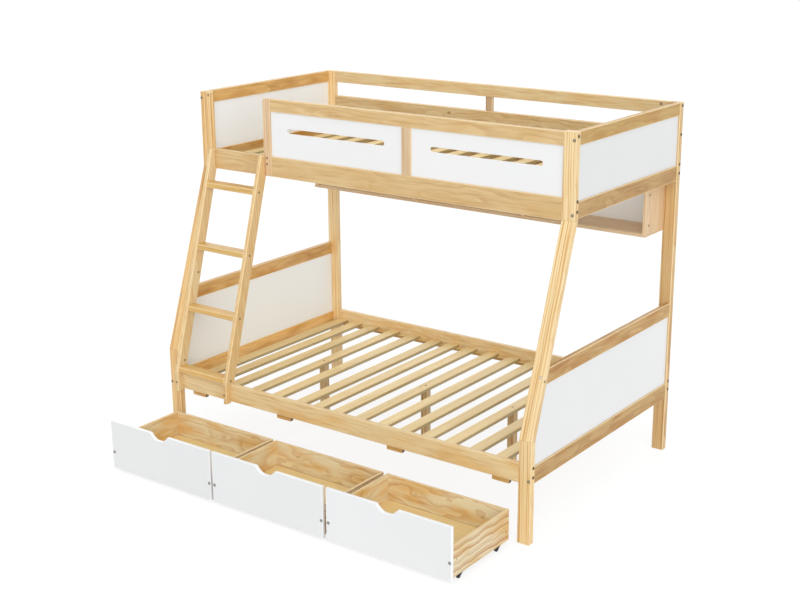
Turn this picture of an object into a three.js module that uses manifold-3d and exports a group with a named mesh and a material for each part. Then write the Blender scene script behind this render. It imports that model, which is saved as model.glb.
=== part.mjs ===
import * as THREE from 'three';
import { mergeVertices } from 'three/addons/utils/BufferGeometryUtils.js';
import Module from 'manifold-3d';

// Bunk bed in pine with white panels: a single bed over a wider one, with bent front posts,
// a leaning ladder, a shelf under the upper bed and three drawers that roll out from below.
// Millimetres. X runs along the bed, Y from the ladder side to the wall side, Z up.

const wasm = await Module();
wasm.setup();

// Mattresses and the play round them
const mattressLength = 1900;
const mattressEndGap = 5;
const lowerMattressWidth = 1200;
const lowerMattressSideGap = 3;
const upperMattressWidth = 900;
const upperMattressSideGap = 7.5;

// Timber
const postWidth = 59;
const postDepth = 32;
const postHeight = 1656;
const railThickness = 22;
const railRecess = 2;
const timberEase = 2;
const seatGap = 0.3;
const cutOverrun = 3;
const joinOverlap = 1;

// Side rails. The upper one hangs from the height of the posts.
const lowerRailBottom = 265;
const lowerRailHeight = 85;
const upperRailHeight = 95;
const postAboveUpperRail = 267;

// Bends of the front posts
const lowerBendAboveRail = 102;
const upperBendAboveRailBottom = 4;

// Rails of the end frames
const endRailInset = 2;
const upperEndTopRailHeight = 58;
const upperEndBottomRailRise = 9;
const upperEndBottomRailHeight = 70;
const lowerEndTopRailHeight = 65;
const lowerEndOpening = 328;
const lowerEndBottomRailDrop = 2;
const lowerEndBottomRailHeight = 75;

// White panels in their grooves
const panelThickness = 9;
const panelReach = 8;
const grooveDepth = 10;

// Guard on the ladder side
const guardDropFromPost = 2;
const guardTopRailHeight = 58;
const guardOpening = 329;
const guardEndUprightWidth = 46;
const guardMidUprightWidth = 50;
const guardCornerRadius = 16;
const guardSlotLength = 552;
const guardSlotHeight = 23;
const guardSlotDrop = 82;
const lapShare = 0.5;

// Guard on the wall side
const wallTopRailHeight = 58;
const wallLowerRailGap = 64;
const wallLowerRailHeight = 75;
const wallUprightWidth = 40;
const wallUprightThickness = 15;

// Slatted decks
const slatWidth = 57;
const slatThickness = 17;
const slatDrop = 48;
const slatEndGap = 1;
const ledgerWidth = 18;
const ledgerHeight = 16;
const deckLegSize = 35;
const slatCentreShares = [
  0.0168, 0.0691, 0.1293, 0.2016, 0.2707, 0.3471, 0.4005, 0.4613,
  0.5288, 0.5953, 0.6592, 0.7215, 0.7833, 0.8508, 0.9194,
];
const leggedSlatShares = [0.22, 0.58, 0.86];

// Stop blocks under the lower front rail, which the drawers' fronts meet, with their centres as
// shares of the clear length
const stopBlockLength = 81;
const stopBlockHeight = 24;
const stopBlockSetBack = 13;
const stopBlockCentreShares = [0.0597, 0.3383, 0.6681, 0.951];

// Ladder
const ladderStileThickness = 20;
const ladderStileTopDepth = 22.6;
const ladderClearWidth = 294;
const ladderFootBelowRail = 7;
const ladderSeatOnRail = 25.7;
const ladderSeatUnderRail = 7;
const rungThickness = 28;
const rungInset = 1;
const rungEase = 4;
const rungCount = 4;
const topRungBelowRail = 55;
const lowestRungAboveRail = 31;

// Shelf under the upper bed
const shelfBoardThickness = 15;
const shelfDepth = 199;
const shelfHeight = 225;
const shelfBackThickness = 6;
const shelfBays = 3;

// Drawers. Each one drifts from its even place by a share of the gap between the fronts.
const drawerCount = 3;
const drawerEndGap = 12.5;
const drawerFrontGap = 15;
const drawerDriftShares = [0, -0.17, 0];
const drawerFrontThickness = 15;
const drawerFrontBottom = 12;
const drawerFrontHeight = 233;
const drawerFrontEase = 1;
const drawerLength = 417.5;
const drawerClearOfBed = 40;
const drawerSideInset = 2;
const drawerSideThickness = 12;
const drawerSideHeight = 136.5;
const drawerBottomRise = 13;
const drawerBottomThickness = 6;
const fingerCutWidth = 108;
const fingerCutDepth = 29;
const fingerCutShoulder = 44;
const fingerCutTurn = 25;

// Casters
const wheelRadius = 10;
const wheelWidth = 11;
const wheelBoreRadius = 2.3;
const wheelTopGap = 1.8;
const axleRadius = 2;
const forkCheekThickness = 2;
const forkSideGap = 0.7;
const forkPlateThickness = 2;
const forkPlateLength = 36;
const forkCheekLength = 15;
const forkTipRadius = 4.5;
const forkTrail = 14;
const casterFromFront = 67;
const casterFromBack = 77;
const casterSideInset = 5;
const casterBlockWidth = 34;

// Round forms
const wheelSteps = 24;
const axleSteps = 12;
const cornerSteps = 6;

// Overall sizes that follow
const innerLength = mattressLength + 2 * mattressEndGap;
const overallLength = innerLength + 2 * postWidth;
const railToFace = railRecess + railThickness;
const overallDepth = lowerMattressWidth + 2 * (lowerMattressSideGap + railToFace);
const upperDepth = upperMattressWidth + 2 * (upperMattressSideGap + railToFace);
const frontLean = overallDepth - upperDepth;
const lowerRailTop = lowerRailBottom + lowerRailHeight;
const upperRailTop = postHeight - postAboveUpperRail;
const upperRailBottom = upperRailTop - upperRailHeight;
const lowerBendHeight = lowerRailTop + lowerBendAboveRail;
const upperBendHeight = upperRailBottom + upperBendAboveRailBottom;
const clearStart = postWidth;
const clearEnd = overallLength - postWidth;
const grooveWidth = panelThickness + 2 * seatGap;
const grooveToFace = railRecess + (railThickness - grooveWidth) / 2;

// Finishes
const pine = new THREE.MeshStandardMaterial({ color: 0xe2bd83, roughness: 0.45, metalness: 0 });
const pineDark = new THREE.MeshStandardMaterial({ color: 0xcf9d5c, roughness: 0.5, metalness: 0 });
const white = new THREE.MeshStandardMaterial({ color: 0xeeeff0, roughness: 0.4, metalness: 0 });
const black = new THREE.MeshStandardMaterial({ color: 0x1c1c1e, roughness: 0.5, metalness: 0.1 });

// Solids from three.js geometries, and back again for the scene
function toSolid(geometry) {
  const bare = geometry.index ? geometry.toNonIndexed() : geometry.clone();
  for (const name of Object.keys(bare.attributes)) {
    if (name !== 'position') bare.deleteAttribute(name);
  }
  const merged = mergeVertices(bare);
  return new wasm.Manifold(new wasm.Mesh({
    numProp: 3,
    vertProperties: merged.attributes.position.array,
    triVerts: new Uint32Array(merged.index.array),
  }));
}

function toGeometry(solid) {
  const { vertProperties, triVerts } = solid.getMesh();
  const indexed = new THREE.BufferGeometry();
  indexed.setAttribute('position', new THREE.BufferAttribute(vertProperties, 3));
  indexed.setIndex(new THREE.BufferAttribute(triVerts, 1));
  const flat = indexed.toNonIndexed();
  flat.computeVertexNormals();
  return flat;
}

function addPiece(group, name, solid, material) {
  const mesh = new THREE.Mesh(toGeometry(solid), material);
  mesh.name = name;
  group.add(mesh);
  return mesh;
}

// Outlines drawn through a length along one axis. An ease chamfers both rims of the drawn shape.
const alongX = new THREE.Matrix4().makeBasis(
  new THREE.Vector3(0, 1, 0), new THREE.Vector3(0, 0, 1), new THREE.Vector3(1, 0, 0));
const alongY = new THREE.Matrix4().makeBasis(
  new THREE.Vector3(1, 0, 0), new THREE.Vector3(0, 0, 1), new THREE.Vector3(0, -1, 0));

function toShape(points) {
  return new THREE.Shape(points.map(([a, b]) => new THREE.Vector2(a, b)));
}

function draw(outline, length, ease) {
  const shape = Array.isArray(outline) ? toShape(outline) : outline;
  const geometry = new THREE.ExtrudeGeometry(shape, {
    depth: length - 2 * ease,
    bevelEnabled: ease > 0,
    bevelThickness: ease,
    bevelSize: ease,
    bevelOffset: -ease,
    bevelSegments: 1,
    curveSegments: cornerSteps,
  });
  return geometry.translate(0, 0, ease);
}

function drawX(outline, x0, x1, ease = 0) {
  return toSolid(draw(outline, x1 - x0, ease).applyMatrix4(alongX).translate(x0, 0, 0));
}

function drawY(outline, y0, y1, ease = 0) {
  return toSolid(draw(outline, y1 - y0, ease).applyMatrix4(alongY).translate(0, y1, 0));
}

function drawZ(outline, z0, z1, ease = 0) {
  return toSolid(draw(outline, z1 - z0, ease).translate(0, 0, z0));
}

// A rectangle, with its corners cut off by an ease so that a board drawn from it has soft edges
function rectangle([a0, a1], [b0, b1], ease = 0) {
  if (ease === 0) return [[a0, b0], [a1, b0], [a1, b1], [a0, b1]];
  return [
    [a0 + ease, b0], [a1 - ease, b0], [a1, b0 + ease], [a1, b1 - ease],
    [a1 - ease, b1], [a0 + ease, b1], [a0, b1 - ease], [a0, b0 + ease],
  ];
}

// Boards and plain blocks, from their spans along the three axes
function boardX(x, y, z, ease = timberEase) {
  return drawX(rectangle(y, z, ease), x[0], x[1]);
}

function boardY(x, y, z, ease = timberEase) {
  return drawY(rectangle(x, z, ease), y[0], y[1]);
}

function boardZ(x, y, z, ease = timberEase) {
  return drawZ(rectangle(x, y, ease), z[0], z[1]);
}

function block(x, y, z) {
  return drawZ(rectangle(x, y), z[0], z[1]);
}

function cut(solid, ...cutters) {
  return cutters.reduce((rest, cutter) => rest.subtract(cutter), solid);
}

function fuse(...solids) {
  return solids.reduce((whole, solid) => whole.add(solid));
}

// The front post leans between two bends. A line set back from its front face keeps that
// distance square to the face, so the post has one thickness and its joints are mitred.
const leanAngle = Math.atan2(frontLean, upperBendHeight - lowerBendHeight);

function bendHeights(setBack) {
  const drop = setBack * Math.tan(leanAngle / 2);
  return [lowerBendHeight - drop, upperBendHeight - drop];
}

function postLine(setBack, height) {
  const [low, high] = bendHeights(setBack);
  if (height <= low) return setBack;
  if (height >= high) return frontLean + setBack;
  return setBack + (height - low) * Math.tan(leanAngle);
}

function postEdge(setBack, bottom, top) {
  const between = bendHeights(setBack).filter((height) => height > bottom && height < top);
  return [bottom, ...between, top].map((height) => [postLine(setBack, height), height]);
}

function postStrip(fromSetBack, toSetBack, bottom, top) {
  return [...postEdge(fromSetBack, bottom, top), ...postEdge(toSetBack, bottom, top).reverse()];
}

// The end frames: two posts, four rails and two white panels each. The right one mirrors the left.
const upperEndTopRailBottom = postHeight - upperEndTopRailHeight;
const upperEndBottomRailBottom = upperRailBottom + upperEndBottomRailRise;
const lowerEndBottomRailBottom = lowerRailBottom - lowerEndBottomRailDrop;
const lowerEndTopRailBottom = lowerEndBottomRailBottom + lowerEndBottomRailHeight + lowerEndOpening;
const upperPanelSpan = [
  upperEndBottomRailBottom + upperEndBottomRailHeight - panelReach,
  upperEndTopRailBottom + panelReach,
];
const lowerPanelSpan = [
  lowerEndBottomRailBottom + lowerEndBottomRailHeight - panelReach,
  lowerEndTopRailBottom + panelReach,
];

function widen([start, end], margin) {
  return [start - margin, end + margin];
}

function endFrame(side, mirrored) {
  const frame = new THREE.Group();
  const across = ([start, end]) => (mirrored ? [overallLength - end, overallLength - start] : [start, end]);
  const postX = across([0, postWidth]);
  const railX = across([endRailInset, endRailInset + railThickness]);
  const panelStart = endRailInset + (railThickness - panelThickness) / 2;
  const panelX = across([panelStart, panelStart + panelThickness]);
  const grooveX = widen(panelX, seatGap);
  const backFace = overallDepth - postDepth;
  const groovedBack = [backFace - cutOverrun, backFace + grooveDepth];
  const panelBack = backFace + panelReach;
  const grooveReach = grooveDepth - panelReach;
  const upperGrooveSpan = widen(upperPanelSpan, grooveReach);
  const lowerGrooveSpan = widen(lowerPanelSpan, grooveReach);

  const backPost = cut(
    drawX(rectangle([backFace, overallDepth], [0, postHeight]), ...postX, timberEase),
    block(grooveX, groovedBack, upperGrooveSpan),
    block(grooveX, groovedBack, lowerGrooveSpan),
  );
  addPiece(frame, `${side}_back_post`, backPost, pine);

  const grooveStrip = (span) => drawX(
    postStrip(postDepth - grooveDepth, postDepth + cutOverrun, ...span), ...grooveX);
  const guardGroove = block(
    [clearEnd - cutOverrun, clearEnd + grooveDepth], guardGrooveY, widen(guardPanelSpan, grooveReach));
  const frontPost = cut(
    drawX(postStrip(0, postDepth, 0, postHeight), ...postX, timberEase),
    grooveStrip(upperGrooveSpan),
    grooveStrip(lowerGrooveSpan),
    guardGroove,
  );
  addPiece(frame, `${side}_front_post`, frontPost, pine);

  // A rail from the front post to the back post. Its groove faces the panel above or below it.
  const rail = (name, bottom, height, grooveAbove) => {
    const top = bottom + height;
    const front = postEdge(postDepth + seatGap, bottom, top);
    const outline = [...front, [backFace, top], [backFace, bottom]];
    const grooveSpan = grooveAbove
      ? [top - grooveDepth, top + cutOverrun]
      : [bottom - cutOverrun, bottom + grooveDepth];
    const groove = block(grooveX, [0, overallDepth], grooveSpan);
    const eased = boardY(railX, [0, backFace], [bottom, top]);
    addPiece(frame, `${side}_${name}`, cut(drawX(outline, ...railX).intersect(eased), groove), pine);
  };
  rail('upper_end_top_rail', upperEndTopRailBottom, upperEndTopRailHeight, false);
  rail('upper_end_bottom_rail', upperEndBottomRailBottom, upperEndBottomRailHeight, true);
  rail('lower_end_top_rail', lowerEndTopRailBottom, lowerEndTopRailHeight, false);
  rail('lower_end_bottom_rail', lowerEndBottomRailBottom, lowerEndBottomRailHeight, true);

  const panel = (name, [bottom, top]) => {
    const front = postEdge(postDepth - panelReach, bottom, top);
    const outline = [...front, [panelBack, top], [panelBack, bottom]];
    addPiece(frame, `${side}_${name}`, drawX(outline, ...panelX), white);
  };
  panel('upper_end_panel', upperPanelSpan);
  panel('lower_end_panel', lowerPanelSpan);
  return frame;
}

// Side rails. The upper front one is grooved for the guard panels and lapped by the guard's end
// upright. The upper back one is notched for the upright of the wall guard.
const lowerFrontRailY = [railRecess, railToFace];
const upperFrontRailY = [frontLean + railRecess, frontLean + railToFace];
const backRailY = [overallDepth - railToFace, overallDepth - railRecess];
const clearX = [clearStart, clearEnd];
const guardTop = postHeight - guardDropFromPost;
const guardTopRailBottom = guardTop - guardTopRailHeight;
const guardPanelSpan = [upperRailTop - panelReach, guardTopRailBottom + panelReach];
const guardEndX = [clearStart + guardOpening, clearStart + guardOpening + guardEndUprightWidth];
const guardBayLength = (clearEnd - guardEndX[1] - guardMidUprightWidth) / 2;
const guardMidX = [guardEndX[1] + guardBayLength, guardEndX[1] + guardBayLength + guardMidUprightWidth];
const guardGrooveY = [frontLean + grooveToFace, frontLean + grooveToFace + grooveWidth];
const guardPanelY = widen(guardGrooveY, -seatGap);
const lapDepth = lapShare * railThickness;
const wallUprightX = [(overallLength - wallUprightWidth) / 2, (overallLength + wallUprightWidth) / 2];
const wallUprightY = [backRailY[1] - wallUprightThickness, backRailY[1]];

function wallUprightNotch(span) {
  return block(
    widen(wallUprightX, seatGap),
    [wallUprightY[0] - seatGap, wallUprightY[1] + cutOverrun],
    widen(span, cutOverrun),
  );
}

function stopBlocks() {
  const y = lowerFrontRailY.map((edge) => edge + stopBlockSetBack);
  return stopBlockCentreShares.map((share) => {
    const centre = clearStart + share * innerLength;
    const x = [centre - stopBlockLength / 2, centre + stopBlockLength / 2];
    return boardX(x, y, [lowerRailBottom - stopBlockHeight, lowerRailBottom + joinOverlap]);
  });
}

function sideRails() {
  const rails = new THREE.Group();
  const lowerSpan = [lowerRailBottom, lowerRailTop];
  const upperSpan = [upperRailBottom, upperRailTop];
  const lap = block(
    widen(guardEndX, seatGap),
    [upperFrontRailY[0] - cutOverrun, upperFrontRailY[0] + lapDepth + seatGap],
    widen(upperSpan, cutOverrun),
  );
  const groove = block(
    [guardEndX[1] - panelReach - seatGap, clearEnd + cutOverrun],
    guardGrooveY,
    [upperRailTop - grooveDepth, upperRailTop + cutOverrun],
  );
  const lowerFront = fuse(boardX(clearX, lowerFrontRailY, lowerSpan), ...stopBlocks());
  const upperFront = cut(boardX(clearX, upperFrontRailY, upperSpan), lap, groove);
  const upperBack = cut(boardX(clearX, backRailY, upperSpan), wallUprightNotch(upperSpan));
  addPiece(rails, 'lower_front_rail', lowerFront, pine);
  addPiece(rails, 'lower_back_rail', boardX(clearX, backRailY, lowerSpan), pine);
  addPiece(rails, 'upper_front_rail', upperFront, pine);
  addPiece(rails, 'upper_back_rail', upperBack, pine);
  return rails;
}

// Front guard: an end upright, a middle upright and a top rail round two slotted panels
function guardEndOutline() {
  const [left, right] = guardEndX;
  const outline = new THREE.Shape();
  outline.moveTo(left, upperRailBottom);
  outline.lineTo(right, upperRailBottom);
  outline.lineTo(right, guardTop);
  outline.lineTo(left + guardCornerRadius, guardTop);
  outline.absarc(
    left + guardCornerRadius, guardTop - guardCornerRadius, guardCornerRadius, Math.PI / 2, Math.PI, false);
  outline.closePath();
  return outline;
}

function guardPanel([left, right]) {
  const [bottom, top] = guardPanelSpan;
  const centreX = (left + right) / 2;
  const centreZ = guardTopRailBottom - guardSlotDrop;
  const endRadius = guardSlotHeight / 2;
  const halfRun = guardSlotLength / 2 - endRadius;
  const outline = toShape(rectangle([left, right], [bottom, top]));
  const slot = new THREE.Path();
  slot.absarc(centreX + halfRun, centreZ, endRadius, -Math.PI / 2, Math.PI / 2, false);
  slot.absarc(centreX - halfRun, centreZ, endRadius, Math.PI / 2, 1.5 * Math.PI, false);
  slot.closePath();
  outline.holes.push(slot);
  return drawY(outline, ...guardPanelY);
}

function frontGuard() {
  const guard = new THREE.Group();
  const grooveSpan = widen(guardPanelSpan, grooveDepth - panelReach);
  const sideGroove = (x) => block(x, guardGrooveY, grooveSpan);
  const behindLap = block(
    widen(guardEndX, cutOverrun),
    [upperFrontRailY[0] + lapDepth, upperFrontRailY[1] + cutOverrun],
    [upperRailBottom - cutOverrun, upperRailTop + seatGap],
  );
  const endUpright = cut(
    drawY(guardEndOutline(), ...upperFrontRailY, timberEase),
    behindLap,
    sideGroove([guardEndX[1] - grooveDepth, guardEndX[1] + cutOverrun]),
  );
  addPiece(guard, 'guard_end_upright', endUpright, pine);

  const midUpright = cut(
    boardZ(guardMidX, upperFrontRailY, [upperRailTop, guardTopRailBottom]),
    sideGroove([guardMidX[0] - cutOverrun, guardMidX[0] + grooveDepth]),
    sideGroove([guardMidX[1] - grooveDepth, guardMidX[1] + cutOverrun]),
  );
  addPiece(guard, 'guard_middle_upright', midUpright, pine);

  const topRailX = [guardEndX[1], clearEnd];
  const topGrooveSpan = [guardTopRailBottom - cutOverrun, guardTopRailBottom + grooveDepth];
  const topGroove = block(widen(topRailX, cutOverrun), guardGrooveY, topGrooveSpan);
  const topRail = cut(boardX(topRailX, upperFrontRailY, [guardTopRailBottom, guardTop]), topGroove);
  addPiece(guard, 'guard_top_rail', topRail, pine);

  addPiece(guard, 'guard_left_panel', guardPanel(widen([guardEndX[1], guardMidX[0]], panelReach)), white);
  addPiece(guard, 'guard_right_panel', guardPanel(widen([guardMidX[1], clearEnd], panelReach)), white);
  return guard;
}

// Wall guard: two rails between the back posts, held at mid length by an upright let into their backs
function wallGuard() {
  const guard = new THREE.Group();
  const rail = (name, span) => {
    addPiece(guard, name, cut(boardX(clearX, backRailY, span), wallUprightNotch(span)), pine);
  };
  rail('wall_guard_top_rail', [postHeight - wallTopRailHeight, postHeight]);
  const lowerBottom = upperRailTop + wallLowerRailGap;
  rail('wall_guard_lower_rail', [lowerBottom, lowerBottom + wallLowerRailHeight]);
  const upright = boardZ(wallUprightX, wallUprightY, [upperRailBottom, postHeight]);
  addPiece(guard, 'wall_guard_upright', upright, pine);
  return guard;
}

// A slatted deck: slats across two ledgers, with centre legs under some of them on the lower bed
function deck(railTop, [front, back], leggedShares) {
  const slatTop = railTop - slatDrop;
  const slatBottom = slatTop - slatThickness;
  const ledgerSpan = [slatBottom - ledgerHeight, slatBottom + joinOverlap];
  const pieces = [
    boardX(clearX, [front, front + ledgerWidth], ledgerSpan),
    boardX(clearX, [back - ledgerWidth, back], ledgerSpan),
  ];
  const leggedSlats = leggedShares.map((share) => Math.round(share * (slatCentreShares.length - 1)));
  slatCentreShares.forEach((share, index) => {
    const centre = clearStart + share * innerLength;
    const x = [centre - slatWidth / 2, centre + slatWidth / 2];
    pieces.push(boardY(x, [front + slatEndGap, back - slatEndGap], [slatBottom, slatTop]));
    if (leggedSlats.includes(index)) {
      const middle = (front + back) / 2;
      const legX = [centre - deckLegSize / 2, centre + deckLegSize / 2];
      const legY = [middle - deckLegSize / 2, middle + deckLegSize / 2];
      pieces.push(boardZ(legX, legY, [0, slatBottom + joinOverlap]));
    }
  });
  return fuse(...pieces);
}

function decks() {
  const both = new THREE.Group();
  const lowerSpan = [lowerFrontRailY[1], backRailY[0]];
  const upperSpan = [upperFrontRailY[1], backRailY[0]];
  addPiece(both, 'lower_slat_deck', deck(lowerRailTop, lowerSpan, leggedSlatShares), pine);
  addPiece(both, 'upper_slat_deck', deck(upperRailTop, upperSpan, []), pine);
  return both;
}

// Ladder: stiles notched over the lower rail and under the upper one, with level rungs between them
const ladderMeetsLower = [lowerFrontRailY[0] + ladderSeatOnRail, lowerRailTop];
const ladderMeetsUpper = [upperFrontRailY[0] + ladderSeatUnderRail, upperRailBottom];
const ladderSlope = (ladderMeetsUpper[0] - ladderMeetsLower[0]) / (ladderMeetsUpper[1] - ladderMeetsLower[1]);
const ladderStileDepth = ladderStileTopDepth + ladderSeatUnderRail + upperRailHeight * ladderSlope;
const rungDepth = ladderStileDepth - 2 * rungInset;
const leftStileX = [clearStart + seatGap, clearStart + seatGap + ladderStileThickness];
const rightStileStart = leftStileX[1] + ladderClearWidth;
const rightStileX = [rightStileStart, rightStileStart + ladderStileThickness];

function ladderBack(height) {
  return ladderMeetsLower[0] + (height - ladderMeetsLower[1]) * ladderSlope;
}

function rungOutline(top) {
  const middle = ladderBack(top - rungThickness / 2) - ladderStileDepth / 2;
  return rectangle([middle - rungDepth / 2, middle + rungDepth / 2], [top - rungThickness, top], rungEase);
}

function stileOutline() {
  const foot = lowerRailBottom - ladderFootBelowRail;
  const frontAt = (height) => ladderBack(height) - ladderStileDepth;
  return [
    [lowerFrontRailY[0], foot],
    [lowerFrontRailY[0], lowerRailTop],
    ladderMeetsLower,
    ladderMeetsUpper,
    [upperFrontRailY[0], upperRailBottom],
    [upperFrontRailY[0], upperRailTop],
    [frontAt(upperRailTop), upperRailTop],
    [frontAt(lowerRailTop), lowerRailTop],
    [frontAt(lowerRailTop), foot],
  ];
}

function ladder() {
  const whole = new THREE.Group();
  const topRung = upperRailBottom - topRungBelowRail;
  const lowestRung = lowerRailTop + lowestRungAboveRail;
  const rungTops = [];
  for (let step = 0; step < rungCount; step += 1) {
    rungTops.push(topRung - step * (topRung - lowestRung) / (rungCount - 1));
  }
  addPiece(whole, 'ladder_left_stile', drawX(stileOutline(), ...leftStileX, timberEase), pine);
  addPiece(whole, 'ladder_right_stile', drawX(stileOutline(), ...rightStileX, timberEase), pine);
  rungTops.forEach((top, index) => {
    const rung = drawX(rungOutline(top), leftStileX[1], rightStileX[0]);
    addPiece(whole, `ladder_rung_${index + 1}`, rung, pine);
  });
  return whole;
}

// Shelf hung between the back posts under the upper back rail, with three open bays
function shelf() {
  const whole = new THREE.Group();
  const top = upperRailBottom;
  const bottom = top - shelfHeight;
  const backEnd = overallDepth - railRecess;
  const front = backEnd - shelfBackThickness - shelfDepth;
  const boardsY = [front, backEnd - shelfBackThickness];
  const boards = [boardX(clearX, boardsY, [bottom, bottom + shelfBoardThickness])];
  for (let wall = 0; wall <= shelfBays; wall += 1) {
    const start = clearStart + wall * (innerLength - shelfBoardThickness) / shelfBays;
    boards.push(boardZ([start, start + shelfBoardThickness], boardsY, [bottom + joinOverlap, top]));
  }
  addPiece(whole, 'shelf_boards', fuse(...boards), pine);
  addPiece(whole, 'shelf_back', block(clearX, [boardsY[1], backEnd], [bottom, top]), white);
  return whole;
}

// Drawer: a white front with a finger cut, a pine box and a raised bottom with a block under each
// corner, where the four casters' forks are fixed.
// Its own frame has X across, Y from the front's face inwards and Z up from the floor.
const drawerFrontStep = (innerLength - 2 * drawerEndGap + drawerFrontGap) / drawerCount;
const drawerFrontWidth = drawerFrontStep - drawerFrontGap;
const drawerBoxWidth = drawerFrontWidth - 2 * drawerSideInset;
const drawerBoxBottom = 2 * wheelRadius + wheelTopGap + forkPlateThickness;
const drawerBoardBottom = drawerBoxBottom + drawerBottomRise;
const drawerPull = drawerLength + drawerClearOfBed;

function drawerFrontOutline() {
  const half = drawerFrontWidth / 2;
  const top = drawerFrontBottom + drawerFrontHeight;
  const low = top - fingerCutDepth;
  const outer = fingerCutWidth / 2;
  const inner = outer - fingerCutShoulder;
  const turn = outer - fingerCutTurn;
  const outline = new THREE.Shape();
  outline.moveTo(-half, drawerFrontBottom);
  outline.lineTo(half, drawerFrontBottom);
  outline.lineTo(half, top);
  outline.lineTo(outer, top);
  outline.quadraticCurveTo(turn, low, inner, low);
  outline.lineTo(-inner, low);
  outline.quadraticCurveTo(-turn, low, -outer, top);
  outline.lineTo(-half, top);
  outline.closePath();
  return outline;
}

function drawerBox() {
  const half = drawerBoxWidth / 2;
  const z = [drawerBoxBottom, drawerBoxBottom + drawerSideHeight];
  const sideY = [drawerFrontThickness, drawerLength];
  const backY = [drawerLength - drawerSideThickness, drawerLength];
  return fuse(
    boardY([-half, -half + drawerSideThickness], sideY, z, drawerFrontEase),
    boardY([half - drawerSideThickness, half], sideY, z, drawerFrontEase),
    boardX([-half + joinOverlap, half - joinOverlap], backY, z, drawerFrontEase),
  );
}

function forkCheek(centreX, axleY) {
  const top = drawerBoxBottom - forkPlateThickness / 2;
  const reach = forkCheekLength / 2;
  const outline = new THREE.Shape();
  outline.moveTo(axleY + forkTrail + reach, top);
  outline.lineTo(axleY + forkTrail - reach, top);
  outline.absarc(axleY, wheelRadius, forkTipRadius, Math.PI, 2 * Math.PI, false);
  outline.closePath();
  return drawX(outline, centreX - forkCheekThickness / 2, centreX + forkCheekThickness / 2);
}

function axle(x0, x1, axleY) {
  const pin = new THREE.CylinderGeometry(axleRadius, axleRadius, x1 - x0, axleSteps);
  return toSolid(pin.rotateZ(Math.PI / 2).translate((x0 + x1) / 2, axleY, wheelRadius));
}

function casterFork(centreX, axleY) {
  const cheekOffset = wheelWidth / 2 + forkSideGap + forkCheekThickness / 2;
  const outer = cheekOffset + forkCheekThickness / 2;
  const plateX = [centreX - outer, centreX + outer];
  const plateY = [axleY + forkTrail - forkPlateLength / 2, axleY + forkTrail + forkPlateLength / 2];
  const boardHalf = drawerBoxWidth / 2 - drawerSideThickness;
  const side = Math.sign(centreX);
  const blockX = [side * (boardHalf - casterBlockWidth), side * boardHalf].sort((a, b) => a - b);
  return fuse(
    block(plateX, plateY, [drawerBoxBottom - forkPlateThickness, drawerBoxBottom]),
    block(blockX, plateY, [drawerBoxBottom - joinOverlap, drawerBoardBottom + joinOverlap]),
    forkCheek(centreX - cheekOffset, axleY),
    forkCheek(centreX + cheekOffset, axleY),
    axle(...plateX, axleY),
  );
}

function wheelGeometry() {
  const half = wheelWidth / 2;
  const shoulder = wheelRadius - timberEase / 2;
  const profile = [
    [wheelBoreRadius, -half],
    [shoulder, -half],
    [wheelRadius, -half + timberEase / 2],
    [wheelRadius, half - timberEase / 2],
    [shoulder, half],
    [wheelBoreRadius, half],
    [wheelBoreRadius, -half],
  ].map(([radius, height]) => new THREE.Vector2(radius, height));
  return new THREE.LatheGeometry(profile, wheelSteps).rotateZ(Math.PI / 2);
}

const casterX = drawerBoxWidth / 2 - casterSideInset - wheelWidth / 2;
const casterPlaces = [
  ['front_left', -casterX, casterFromFront],
  ['front_right', casterX, casterFromFront],
  ['back_left', -casterX, drawerLength - casterFromBack],
  ['back_right', casterX, drawerLength - casterFromBack],
];

function drawer(number) {
  const whole = new THREE.Group();
  const half = drawerBoxWidth / 2 - drawerSideThickness;
  const bottomBoard = block(
    [-half, half],
    [drawerFrontThickness, drawerLength - drawerSideThickness],
    [drawerBoardBottom, drawerBoardBottom + drawerBottomThickness],
  );
  const front = drawY(drawerFrontOutline(), 0, drawerFrontThickness, drawerFrontEase);
  const bottom = fuse(bottomBoard, ...casterPlaces.map(([, x, y]) => casterFork(x, y)));
  addPiece(whole, `drawer_${number}_front`, front, white);
  addPiece(whole, `drawer_${number}_box`, drawerBox(), pineDark);
  addPiece(whole, `drawer_${number}_bottom`, bottom, pineDark);
  for (const [place, x, y] of casterPlaces) {
    const wheel = addPiece(whole, `drawer_${number}_wheel_${place}`, toSolid(wheelGeometry()), black);
    wheel.position.set(x, y, wheelRadius);
  }
  return whole;
}

function drawers() {
  const row = new THREE.Group();
  const firstCentre = (overallLength - drawerFrontStep * (drawerCount - 1)) / 2;
  for (let index = 0; index < drawerCount; index += 1) {
    const one = drawer(index + 1);
    const drift = drawerDriftShares[index % drawerDriftShares.length] * drawerFrontGap;
    one.position.set(firstCentre + index * drawerFrontStep + drift, -drawerPull, 0);
    row.add(one);
  }
  return row;
}

// The whole bed, moved so that its origin is under the middle of the space that it takes up
const bed = new THREE.Group();
bed.add(
  endFrame('left', false),
  endFrame('right', true),
  sideRails(),
  frontGuard(),
  wallGuard(),
  decks(),
  ladder(),
  shelf(),
  drawers(),
);
bed.position.set(-overallLength / 2, -(overallDepth - drawerPull) / 2, 0);

export default bed;
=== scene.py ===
"""Bunk bed in clear-lacquered pine with white panels, dressed for a pale studio."""

import math
from dataclasses import dataclass

import bmesh
import bpy
from mathutils import Matrix, Vector


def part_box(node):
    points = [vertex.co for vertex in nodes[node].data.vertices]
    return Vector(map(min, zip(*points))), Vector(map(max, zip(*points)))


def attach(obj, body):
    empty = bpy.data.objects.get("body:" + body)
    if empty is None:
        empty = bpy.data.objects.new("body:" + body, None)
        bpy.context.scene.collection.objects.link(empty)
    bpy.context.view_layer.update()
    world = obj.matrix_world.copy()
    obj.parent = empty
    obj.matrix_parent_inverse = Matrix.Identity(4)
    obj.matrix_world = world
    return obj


MM = 0.001

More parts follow.
